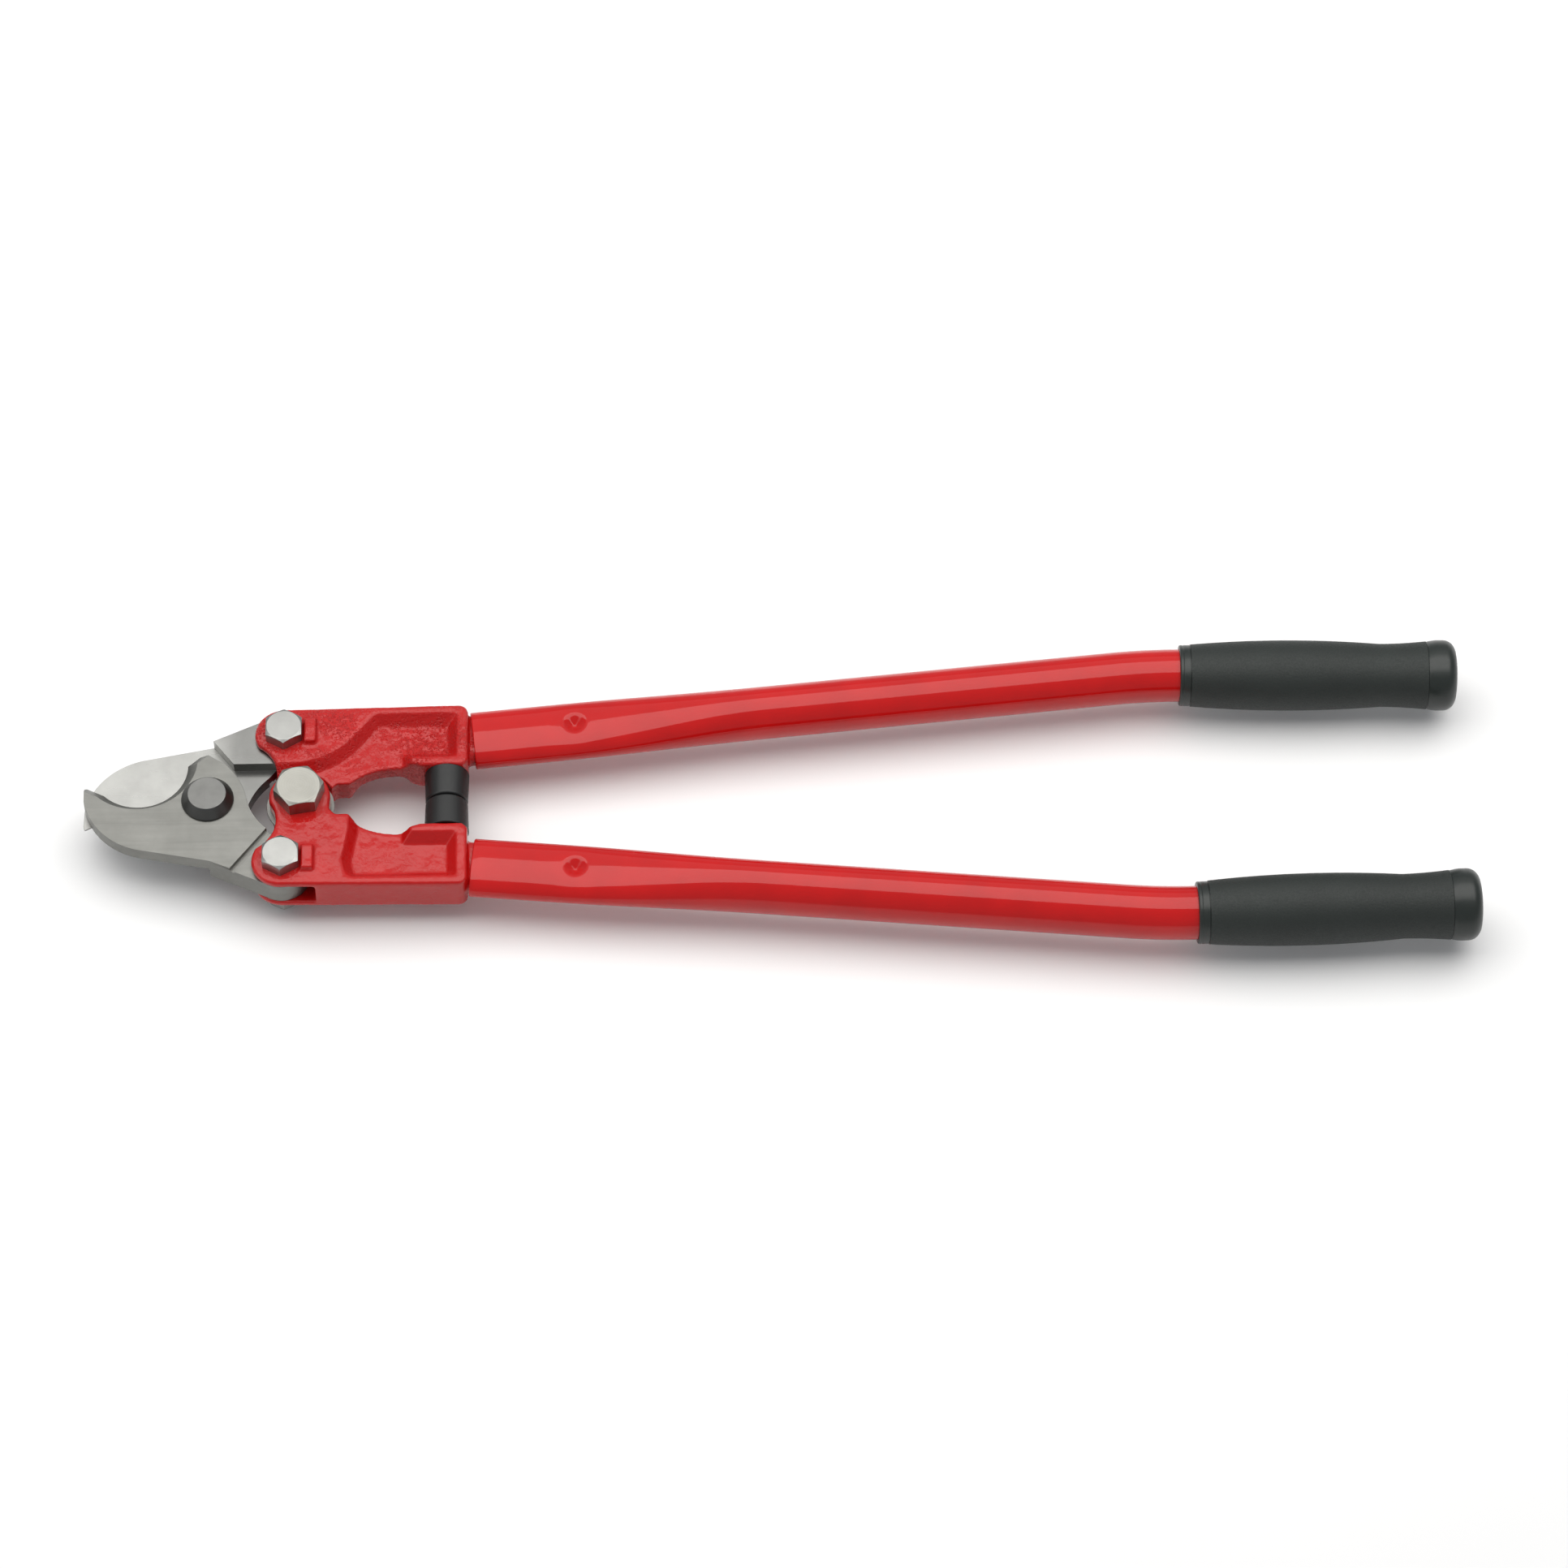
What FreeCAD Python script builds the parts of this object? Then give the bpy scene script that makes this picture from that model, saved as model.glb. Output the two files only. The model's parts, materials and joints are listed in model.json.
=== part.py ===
import FreeCAD, Part
import math
import os

import Sketcher
from FreeCAD import Placement, Rotation, Vector

# Compound-action cable and bolt cutter, closed, lying flat.
# Everything is drawn about the centre bolt's axis, at mid thickness: blades towards -X,
# grips towards +X, the upper handle towards +Y, bolt heads towards +Z.
# Yokes, tubes and grips are drawn as the upper ones, and jaws as the lower one. The other one of
# each pair is the same piece turned half a turn about X.

doc = FreeCAD.newDocument("cable_cutter")

SIZES = [
    # yoke castings
    ("yoke_thick", 20.0), ("yoke_end_x", 79.5), ("yoke_shy", 0.2), ("yoke_rim", 1.8),
    ("ear_x", -8.0), ("ear_y", 36.0), ("ear_rad", 14.0), ("ear_end_turn", 210.0),
    ("lug_rad", 14.5), ("lug_gap", 1.2), ("lug_room", 2.0), ("lug_left_turn", 168.0),
    ("lug_right_turn", 12.0), ("neck_rad", 18.4),
    ("notch_x", 17.0), ("notch_y", 10.2), ("notch_foot", 3.0), ("arch_x", 23.3), ("arch_rad", 33.0),
    ("pad_x", 57.0), ("pad_y", 16.5), ("pad_corner", 2.5),
    ("yoke_corner", 4.5),
    ("recess_deep", 6.0), ("recess_rim", 4.5), ("recess_end_wall", 5.0), ("recess_draft", 38.0),
    ("recess_top_x", 38.0), ("recess_turn_x", 33.2), ("recess_turn_drop", 2.2),
    ("recess_turn_rad", 6.0), ("recess_mid_x", 25.0), ("recess_mid_y", 34.2),
    ("recess_sweep_rad", 36.0), ("recess_foot_x", -3.0), ("recess_foot_y", 19.2),
    ("recess_past_lug", 8.0), ("recess_past_pad", 4.0),
    ("pocket_top_x", 26.8), ("pocket_turn_x", 21.4), ("pocket_turn_drop", 4.35),
    ("pocket_turn_rad", 5.5), ("pocket_belly_x", 20.0), ("pocket_foot_x", 23.0),
    ("pocket_foot_y", 18.2),
    ("boss_gap", 0.5), ("boss_wide", 6.6), ("boss_long", 14.2), ("boss_high", 3.0), ("boss_draft", 10.0),
    ("slot_end", 16.0), ("slot_foot_room", 2.8), ("slot_room", 0.3), ("cut_past", 5.0),
    # tangs, tubes and grips
    ("tube_dia", 25.4), ("tube_wall", 2.0), ("tube_flat", 16.0), ("tube_gap", 2.0),
    ("tube_slope", 5.67), ("flat_end", 46.0), ("round_from", 142.0), ("tube_bend_at", 328.0),
    ("tube_bend_rad", 300.0), ("grip_slope", 1.03),
    ("tang_long", 60.0), ("tang_root", 3.5), ("tang_room", 0.15), ("crimp_at", 51.0), ("crimp_deep", 3.0),
    ("crimp_ball", 6.0), ("crimp_room", 0.3),
    ("grip_from", 15.6), ("grip_long", 133.4), ("grip_cap", 6.0), ("grip_collar_wall", 2.0),
    ("grip_lip", 5.5), ("grip_step", 0.3), ("grip_waist_at", 97.0), ("grip_waist_wall", 2.5),
    ("grip_belly_curve", 566.0), ("grip_bulb_at", 124.0), ("grip_bulb_wall", 4.3),
    ("grip_waist_curve", 220.0), ("grip_end_round", 6.0), ("grip_room", 0.05),
    # bumpers
    ("bumper_at", 69.3), ("bumper_rad", 10.6), ("bumper_tip_rad", 10.1), ("bumper_gap", 0.3),
    ("bumper_edge", 0.8), ("stem_rad", 4.0), ("stem_long", 8.0), ("stem_room", 0.5),
    # jaws
    ("pivot_x", -43.6), ("blade_thick", 7.0), ("blade_gap", 0.2), ("tail_thick", 11.6),
    ("edge_rad", 23.0), ("edge_low_x", -77.0), ("edge_low_y", 0.4), ("edge_tip_turn", 225.0),
    ("tip_x", -102.5), ("tip_y", 9.5), ("tip_top_x", -101.6), ("tip_top_y", 11.4),
    ("bevel_wide", 5.0), ("bevel_land", 0.8),
    ("back_x", -76.0), ("back_y", -27.8), ("back_rad", 35.5), ("nose_x", -102.2),
    ("heel_x", -42.0), ("heel_y", -34.6), ("tail_rad", 13.3), ("tail_out_turn", 236.0),
    ("tail_in_turn", 100.0), ("waist_x", -15.5), ("waist_y", -16.5), ("waist_rad", 34.0),
    ("hub_x", -25.0), ("hub_y", -1.0), ("hub_rad", 39.0), ("hub_top_x", -35.5),
    ("hub_top_y", 20.0), ("crest_x", -48.3), ("crest_y", 28.6),
    ("step_x", -31.9), ("step_rise", 14.9), ("step_in_x", -12.0),
    ("line_x", -32.1), ("line_y", -38.9), ("line_wide", 1.8), ("line_deep", 1.0),
    # fasteners
    ("jaw_bolt_dia", 10.0), ("jaw_hex", 17.0), ("jaw_head", 6.4), ("jaw_nut_high", 8.0),
    ("centre_dia", 14.0), ("centre_hex", 21.0), ("centre_head", 8.8), ("centre_turn", -20.0),
    ("centre_nut_high", 11.0), ("washer_thick", 2.0), ("washer_room", 0.2),
    ("bolt_past_nut", 2.0), ("bore_room", 0.05), ("thread_chamfer", 1.0),
    ("pivot_dia", 16.0), ("pivot_head_rad", 12.4), ("pivot_top_rad", 9.0),
    ("pivot_head_high", 5.9), ("pivot_rim", 0.9), ("pivot_seat", 0.1),
    ("pivot_thread", 12.0), ("pivot_hex", 19.0), ("pivot_nut_high", 10.0),
    ("open_pivot_room", 2.3), ("centre_washer_rad", 13.0),
    ("pivot_washer_rad", 13.0), ("lug_washer_rad", 16.0), ("lug_washer_gap", 0.1),
]

dim = doc.addObject("Spreadsheet::Sheet", "dim")
for row, (name, size) in enumerate(SIZES, start=1):
    dim.set("A%d" % row, name)
    dim.set("B%d" % row, str(size))
    dim.setAlias("B%d" % row, name)
doc.recompute()


def worth(text):
    """The number that an expression on the sheet has now."""
    return float(dim.evalExpression(text))


def size(name):
    return worth("dim." + name)


def turn(about_x, about_y, rad, degrees):
    """A point on a circle, as two expressions."""
    return ("%s + %s * cos(%s * 1 deg)" % (about_x, rad, degrees),
            "%s + %s * sin(%s * 1 deg)" % (about_y, rad, degrees))


def new_body(name):
    return doc.addObject("PartDesign::Body", name)


def new_sketch(body, name, plane="XY_Plane", height=None):
    sketch = body.newObject("Sketcher::SketchObject", name)
    base = [item for item in body.Origin.OriginFeatures if item.Role == plane][0]
    sketch.AttachmentSupport = [(base, "")]
    sketch.MapMode = "FlatFace"
    if height:
        sketch.setExpression("AttachmentOffset.Base.z", height)
    return sketch


def bind(sketch, constraint, expression):
    index = sketch.addConstraint(constraint)
    sketch.setExpression("Constraints[%d]" % index, expression)


def arc_between(start, end, rad, left):
    """The shorter arc from start to end, turning left or right."""
    half = (end - start) * 0.5
    rise = math.sqrt(max(rad * rad - half.Length ** 2, 0.0))
    across = Vector(-half.y, half.x, 0).normalize() * (rise if left else -rise)
    centre = start + half + across
    from_point, to_point = (start, end) if left else (end, start)
    first = math.atan2(from_point.y - centre.y, from_point.x - centre.x)
    last = math.atan2(to_point.y - centre.y, to_point.x - centre.x)
    if last < first:
        last += 2 * math.pi
    return Part.ArcOfCircle(Part.Circle(centre, Vector(0, 0, 1), rad), first, last)


def outline(sketch, corners):
    """A closed outline. A corner is (x, y), or (x, y, radius, "left" or "right") where the side
    that starts there is an arc. All of them are expressions."""
    points = [Vector(worth(corner[0]), worth(corner[1]), 0) for corner in corners]
    count = len(corners)
    first = sketch.GeometryCount
    ends = []
    for index, corner in enumerate(corners):
        start = points[index]
        end = points[(index + 1) % count]
        if len(corner) == 2:
            sketch.addGeometry(Part.LineSegment(start, end), False)
            ends.append((1, 2))
        else:
            left = corner[3] == "left"
            sketch.addGeometry(arc_between(start, end, worth(corner[2]), left), False)
            ends.append((1, 2) if left else (2, 1))
    for index in range(count):
        after = (index + 1) % count
        sketch.addConstraint(Sketcher.Constraint(
            "Coincident", first + index, ends[index][1], first + after, ends[after][0]))
    for index, corner in enumerate(corners):
        where = (-1, 1, first + index, ends[index][0])
        bind(sketch, Sketcher.Constraint("DistanceX", *where, points[index].x), corner[0])
        bind(sketch, Sketcher.Constraint("DistanceY", *where, points[index].y), corner[1])
        if len(corner) > 2:
            bind(sketch, Sketcher.Constraint("Radius", first + index, worth(corner[2])), corner[2])


def circle(sketch, centre_x, centre_y, rad):
    centre = Vector(worth(centre_x), worth(centre_y), 0)
    index = sketch.addGeometry(Part.Circle(centre, Vector(0, 0, 1), worth(rad)), False)
    bind(sketch, Sketcher.Constraint("DistanceX", -1, 1, index, 3, centre.x), centre_x)
    bind(sketch, Sketcher.Constraint("DistanceY", -1, 1, index, 3, centre.y), centre_y)
    bind(sketch, Sketcher.Constraint("Radius", index, worth(rad)), rad)


def extrude(body, kind, name, sketch, length, both_ways=False, downwards=False):
    """A Pad or a Pocket. A pocket has to take something away, and a pad has to add something."""
    before = body.Shape.Volume if body.Tip else 0.0
    feature = body.newObject("PartDesign::" + kind, name)
    feature.Profile = sketch
    feature.setExpression("Length", length)
    feature.SideType = "Symmetric" if both_ways else "One side"
    feature.Reversed = downwards
    doc.recompute()
    gained = body.Shape.Volume - before
    if (kind == "Pad") != (gained > 0.0):
        raise ValueError("%s in %s changed nothing" % (name, body.Label))
    return feature


def spin(body, kind, name, sketch, axis):
    feature = body.newObject("PartDesign::" + kind, name)
    feature.Profile = sketch
    feature.ReferenceAxis = (sketch, [axis])
    doc.recompute()
    return feature


def dress(body, kind, name, picks, length, width=None):
    """Fillet or chamfer the edges that picks accepts."""
    base = body.Tip
    names = ["Edge%d" % (index + 1) for index, edge in enumerate(base.Shape.Edges) if picks(edge)]
    feature = body.newObject("PartDesign::" + kind, name)
    feature.Base = (base, names)
    if kind == "Fillet":
        feature.setExpression("Radius", length)
    else:
        feature.setExpression("Size", length)
    if width:
        feature.ChamferType = "Two distances"
        feature.setExpression("Size2", width)
    doc.recompute()
    return feature


def at_height(height):
    """Accept edges that lie flat at one height."""
    def picks(edge):
        box = edge.BoundBox
        return abs(box.ZMin - height) < 1e-6 and abs(box.ZMax - height) < 1e-6
    return picks


# ---------------------------------------------------------------- yokes

FACE = "dim.yoke_thick / 2"
FLAT_WIDE = "(dim.tube_flat + pi / 2 * (dim.tube_dia - dim.tube_flat))"
OUTER_Y = "(dim.ear_y + %s / 2 - dim.yoke_shy)" % FLAT_WIDE
STEP_Y = "(dim.step_rise - dim.ear_y)"


def yoke_outline():
    ear_top = "dim.ear_y + dim.ear_rad"
    arch_start = ("dim.arch_x", "dim.notch_y", "dim.arch_rad", "right")
    lug_left = turn("0", "0", "dim.lug_rad", "dim.lug_left_turn")
    lug_right = turn("0", "0", "dim.lug_rad", "dim.lug_right_turn")
    return [
        ("dim.yoke_end_x", OUTER_Y + " - dim.yoke_corner", "dim.yoke_corner", "left"),
        ("dim.yoke_end_x - dim.yoke_corner", OUTER_Y),
        ("dim.ear_x", ear_top, "dim.ear_rad", "left"),
        turn("dim.ear_x", "dim.ear_y", "dim.ear_rad", "dim.ear_end_turn") + ("dim.neck_rad", "right"),
        lug_left + ("dim.lug_rad", "left"),
        ("0", "-dim.lug_rad", "dim.lug_rad", "left"),
        lug_right,
        (lug_right[0], "dim.notch_y - dim.notch_foot"),
        ("dim.notch_x", "dim.notch_y"),
        arch_start,
        ("dim.pad_x", "dim.pad_y"),
        ("dim.yoke_end_x - dim.pad_corner", "dim.pad_y"),
        ("dim.yoke_end_x", "dim.pad_y + dim.pad_corner"),
    ]


def front_recess_outline():
    """Shallow recess beside the socket, open to the arch, with an S-shaped upper wall."""
    wall_x = "dim.yoke_end_x - dim.recess_end_wall"
    top_y = OUTER_Y + " - dim.recess_rim"
    past_lug = "-(dim.lug_rad + dim.recess_past_lug)"
    past_pad = "dim.pad_x - dim.recess_past_pad"
    return [
        (wall_x, top_y),
        ("dim.recess_top_x", top_y, "dim.recess_turn_rad", "left"),
        ("dim.recess_turn_x", top_y + " - dim.recess_turn_drop"),
        ("dim.recess_mid_x", "dim.recess_mid_y", "dim.recess_sweep_rad", "right"),
        ("dim.recess_foot_x", "dim.recess_foot_y"),
        (past_lug, "dim.recess_foot_y"),
        (past_lug, past_lug),
        (past_pad, past_lug),
        (past_pad, "dim.pad_y + dim.recess_rim"),
        (wall_x, "dim.pad_y + dim.recess_rim"),
    ]


def back_recess_outline():
    """Pocket beside the socket on the other face, open to the arch."""
    wall_x = "dim.yoke_end_x - dim.recess_end_wall"
    top_y = OUTER_Y + " - dim.recess_rim"
    past_pad = "dim.pad_x - dim.recess_past_pad"
    return [
        (wall_x, top_y),
        ("dim.pocket_top_x", top_y, "dim.pocket_turn_rad", "left"),
        ("dim.pocket_turn_x", top_y + " - dim.pocket_turn_drop"),
        ("dim.pocket_belly_x", "dim.ear_y"),
        ("dim.pocket_foot_x", "dim.pocket_foot_y"),
        ("dim.pocket_foot_x", "0"),
        (past_pad, "0"),
        (past_pad, "dim.pad_y + dim.recess_rim"),
        (wall_x, "dim.pad_y + dim.recess_rim"),
    ]


def lean_walls(feature, draft):
    """Casting draft: a pocket gets narrower as it gets deeper, and a boss as it rises."""
    feature.setExpression("TaperAngle", "-%s * 1 deg" % draft)
    doc.recompute()


def make_yoke(name):
    """Drawn as the upper yoke: its centre lug is the back half of the thickness."""
    body = new_body(name)
    blank = new_sketch(body, name + "_blank")
    outline(blank, yoke_outline())
    extrude(body, "Pad", name + "_casting", blank, "dim.yoke_thick", both_ways=True)
    half = size("yoke_thick") / 2

    def rim(edge):
        return at_height(half)(edge) or at_height(-half)(edge)
    dress(body, "Fillet", name + "_rims", rim, "dim.yoke_rim")

    front = new_sketch(body, name + "_front_recess", height=FACE)
    outline(front, front_recess_outline())
    front_pocket = extrude(body, "Pocket", name + "_front_pocket", front, "dim.recess_deep")
    lean_walls(front_pocket, "dim.recess_draft")
    back = new_sketch(body, name + "_back_recess", height="-" + FACE)
    outline(back, back_recess_outline())
    back_pocket = extrude(body, "Pocket", name + "_back_pocket", back, "dim.recess_deep", downwards=True)
    lean_walls(back_pocket, "dim.recess_draft")

    lap = new_sketch(body, name + "_lap", height=FACE)
    circle(lap, "0", "0", "dim.lug_rad + dim.lug_room")
    extrude(body, "Pocket", name + "_lap_cut", lap, FACE + " + dim.lug_gap / 2")

    slot = new_sketch(body, name + "_slot")
    slot_in_x = "dim.ear_x + dim.slot_end"
    slot_out_x = "dim.ear_x - dim.slot_end - dim.cut_past"
    slot_foot_y = "-%s - dim.slot_foot_room" % STEP_Y
    slot_top_y = OUTER_Y + " + dim.cut_past"
    outline(slot, [(slot_in_x, slot_foot_y), (slot_in_x, slot_top_y),
                   (slot_out_x, slot_top_y), (slot_out_x, slot_foot_y)])
    slot_wide = "dim.tail_thick + 2 * dim.slot_room"
    extrude(body, "Pocket", name + "_jaw_slot", slot, slot_wide, both_ways=True)

    for side, height, under in (("front", FACE, False), ("back", "-" + FACE, True)):
        boss = new_sketch(body, "%s_%s_boss" % (name, side), height=height)
        near = "dim.ear_x + dim.jaw_hex / 2 + dim.boss_gap"
        outline(boss, [(near, "dim.ear_y - dim.boss_long / 2"),
                       (near + " + dim.boss_wide", "dim.ear_y - dim.boss_long / 2"),
                       (near + " + dim.boss_wide", "dim.ear_y + dim.boss_long / 2"),
                       (near, "dim.ear_y + dim.boss_long / 2")])
        stop = extrude(body, "Pad", "%s_%s_stop" % (name, side), boss, "dim.boss_high", downwards=under)
        lean_walls(stop, "dim.boss_draft")

    add_tang(body, name)

    bores = new_sketch(body, name + "_bores")
    circle(bores, "0", "0", "dim.centre_dia / 2 + dim.bore_room")
    circle(bores, "dim.ear_x", "dim.ear_y", "dim.jaw_bolt_dia / 2 + dim.bore_room")
    extrude(body, "Pocket", name + "_bolt_bores", bores, "dim.yoke_thick * 2", both_ways=True)

    stem_floor = "-(dim.pad_y + dim.stem_long + dim.stem_room)"
    stem = new_sketch(body, name + "_stem_bore", plane="XZ_Plane", height=stem_floor)
    circle(stem, "dim.bumper_at", "0", "dim.stem_rad")
    extrude(body, "Pocket", name + "_stem_hole", stem, "dim.stem_long + 2 * dim.stem_room", downwards=True)
    return body


def stadium(sketch, wide, thick):
    """A flat-sided oval about the sketch's origin, wide along X."""
    run = "(%s - %s) / 2" % (wide, thick)
    half = "%s / 2" % thick
    outline(sketch, [(run, "-" + half, half, "left"), (run + " + " + half, "0", half, "left"),
                     (run, half), ("-" + run, half, half, "left"),
                     ("-(%s + %s)" % (run, half), "0", half, "left"), ("-" + run, "-" + half)])


INSIDE = "2 * (dim.tube_wall + dim.tang_room)"


def add_tang(body, name):
    """An oval stub inside the flattened tube, in line with it, with a dent for each crimp."""
    tang = new_sketch(body, name + "_tang", plane="YZ_Plane")
    tang.setExpression("AttachmentOffset.Base.x", "dim.ear_y")
    tang.setExpression("AttachmentOffset.Base.z", "dim.yoke_end_x")
    tang.AttachmentOffset = Placement(Vector(size("ear_y"), 0, size("yoke_end_x")),
                                      Rotation(Vector(0, 1, 0), size("tube_slope")))
    stadium(tang, "(%s - %s)" % (FLAT_WIDE, INSIDE), "(dim.tube_flat - %s)" % INSIDE)
    stub = extrude(body, "Pad", name + "_stub", tang, "dim.tang_long")
    stub.SideType = "Two sides"
    stub.setExpression("Length2", "dim.tang_root")
    doc.recompute()
    dent_x = "dim.yoke_end_x + dim.crimp_at * cos(dim.tube_slope * 1 deg)"
    dent_y = "dim.ear_y + dim.crimp_at * sin(dim.tube_slope * 1 deg)"
    floor = "dim.tube_flat / 2 - dim.crimp_deep - dim.tube_wall - dim.crimp_room"
    for side, under in (("front", False), ("back", True)):
        dent = new_sketch(body, "%s_%s_dent" % (name, side), height=("-(%s)" if under else "%s") % floor)
        circle(dent, dent_x, dent_y, "dim.crimp_ball + dim.tube_wall")
        room = "%s_%s_crimp_room" % (name, side)
        extrude(body, "Pocket", room, dent, "dim.tube_dia", downwards=not under)


# ---------------------------------------------------------------- tubes

def oval_wire(station, thick, inset):
    """The tube's section where it is pressed to one thickness, its girth unchanged."""
    dia = size("tube_dia")
    wide = thick + math.pi / 2 * (dia - thick)
    rad = thick / 2 - inset
    run = (wide - thick) / 2
    points = []
    steps = 32
    for step in range(steps):
        angle = 2 * math.pi * (step + 0.5) / steps
        side = run if math.cos(angle) > 0 else -run
        points.append(Vector(station, side + rad * math.cos(angle), rad * math.sin(angle)))
    curve = Part.BSplineCurve()
    curve.interpolate(points, True)
    return Part.Wire([curve.toShape()])


def tube_solid(inset):
    """The tube's outside, or with an inset its inside, from the yoke to inside the grip."""
    start = size("tube_gap")
    flat_end = size("flat_end")
    round_from = size("round_from")
    dia = size("tube_dia")
    bend = size("tube_bend_rad")
    bend_turn = size("tube_slope") + size("grip_slope")
    reach = bend * math.tan(math.radians(bend_turn) / 2)
    wires = []
    slices = 8
    for part in range(slices + 1):
        share = part / slices
        ease = share * share * (3 - 2 * share)
        thick = size("tube_flat") + (dia - size("tube_flat")) * ease
        wires.append(oval_wire(flat_end + (round_from - flat_end) * share, thick, inset))
    flat = oval_wire(start, size("tube_flat"), inset)
    front = Part.Face(flat).extrude(Vector(flat_end - start, 0, 0))
    change = Part.makeLoft(wires, True, False)
    bend_start = size("tube_bend_at") - reach
    full = Part.Face(wires[-1])
    run_one = full.extrude(Vector(bend_start - round_from, 0, 0))
    full.translate(Vector(bend_start - round_from, 0, 0))
    curve = full.revolve(Vector(bend_start, -bend, 0), Vector(0, 0, -1), bend_turn)
    along = Vector(math.cos(math.radians(bend_turn)), -math.sin(math.radians(bend_turn)), 0)
    full.rotate(Vector(bend_start, -bend, 0), Vector(0, 0, -1), bend_turn)
    straight = size("grip_from") + size("grip_long") - size("grip_cap") - size("tube_gap") - reach
    run_two = full.extrude(along * straight)
    return front.fuse([change, run_one, curve, run_two])


def make_tube(name):
    outside = tube_solid(0.0)
    tube = outside.cut(tube_solid(size("tube_wall")))
    ball = size("crimp_ball")
    for side in (1, -1):
        centre = Vector(size("crimp_at"), 0, side * (size("tube_flat") / 2 + ball - size("crimp_deep")))
        knuckle = outside.common(Part.makeSphere(ball + size("tube_wall"), centre))
        tube = tube.fuse(knuckle).cut(Part.makeSphere(ball, centre))
    feature = doc.addObject("Part::Feature", name)
    feature.Shape = tube.Solids[0]
    return feature


def make_grip(name):
    """Drawn along X from its collar, and then put on the tube's straight end."""
    body = new_body(name)
    profile = new_sketch(body, name + "_profile")
    bore = "dim.tube_dia / 2 + dim.grip_room"
    collar_rad = "(dim.tube_dia / 2 + dim.grip_collar_wall)"
    waist_rad = "(dim.tube_dia / 2 + dim.grip_waist_wall)"
    bulb_rad = "(dim.tube_dia / 2 + dim.grip_bulb_wall)"
    outline(profile, [
        ("0", bore),
        ("dim.grip_long - dim.grip_cap", bore),
        ("dim.grip_long - dim.grip_cap", "0"),
        ("dim.grip_long", "0"),
        ("dim.grip_long", bulb_rad + " - dim.grip_end_round", "dim.grip_end_round", "left"),
        ("dim.grip_long - dim.grip_end_round", bulb_rad),
        ("dim.grip_bulb_at", bulb_rad, "dim.grip_waist_curve", "right"),
        ("dim.grip_waist_at", waist_rad, "dim.grip_belly_curve", "left"),
        ("dim.grip_lip", collar_rad + " + dim.grip_step"),
        ("dim.grip_lip", collar_rad),
        ("0", collar_rad),
    ])
    spin(body, "Revolution", name + "_moulding", profile, "H_Axis")
    return body


def make_bumper(name):
    """Drawn upwards from its seat on the pad, with its stem below."""
    body = new_body(name)
    profile = new_sketch(body, name + "_profile", plane="XZ_Plane")
    tall = "dim.pad_y - dim.bumper_gap / 2"
    outline(profile, [
        ("0", "-dim.stem_long"), ("dim.stem_rad", "-dim.stem_long"), ("dim.stem_rad", "0"),
        ("dim.bumper_rad", "0"),
        ("dim.bumper_tip_rad", tall + " - dim.bumper_edge"),
        ("dim.bumper_tip_rad - dim.bumper_edge", tall),
        ("0", tall),
    ])
    spin(body, "Revolution", name + "_moulding", profile, "V_Axis")
    return body


# ---------------------------------------------------------------- jaws

BLADE_BACK = "dim.blade_gap / 2"
BLADE_FRONT = "(dim.blade_gap / 2 + dim.blade_thick)"
TAIL_FRONT = "dim.tail_thick / 2"
EDGE_CENTRE_Y = "(dim.edge_low_y + dim.edge_rad)"


def blade_corners():
    """From the hub's crest along the cutting edge, the tip and the back to the heel."""
    low = turn("dim.edge_low_x", EDGE_CENTRE_Y, "dim.edge_rad", "dim.edge_tip_turn")
    return [
        ("dim.crest_x", "dim.crest_y"),
        ("dim.edge_low_x + dim.edge_rad", EDGE_CENTRE_Y, "dim.edge_rad", "right"),
        low,
        ("dim.tip_top_x", "dim.tip_top_y"),
        ("dim.tip_x", "dim.tip_y"),
        ("dim.nose_x", "0", "dim.back_rad", "left"),
        ("dim.back_x", "dim.back_y"),
        ("dim.heel_x", "dim.heel_y"),
    ]


def tail_corners():
    """Round the jaw bolt, from the outside to the inside."""
    out = turn("dim.ear_x", "-dim.ear_y", "dim.tail_rad", "dim.tail_out_turn")
    inner = turn("dim.ear_x", "-dim.ear_y", "dim.tail_rad", "dim.tail_in_turn")
    return [out + ("dim.tail_rad", "left"),
            ("dim.ear_x + dim.tail_rad", "-dim.ear_y", "dim.tail_rad", "left"),
            inner]


def hub_corners():
    return [("dim.waist_x", "dim.waist_y", "dim.waist_rad", "right"),
            ("dim.hub_x", "dim.hub_y", "dim.hub_rad", "left"),
            ("dim.hub_top_x", "dim.hub_top_y")]


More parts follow.
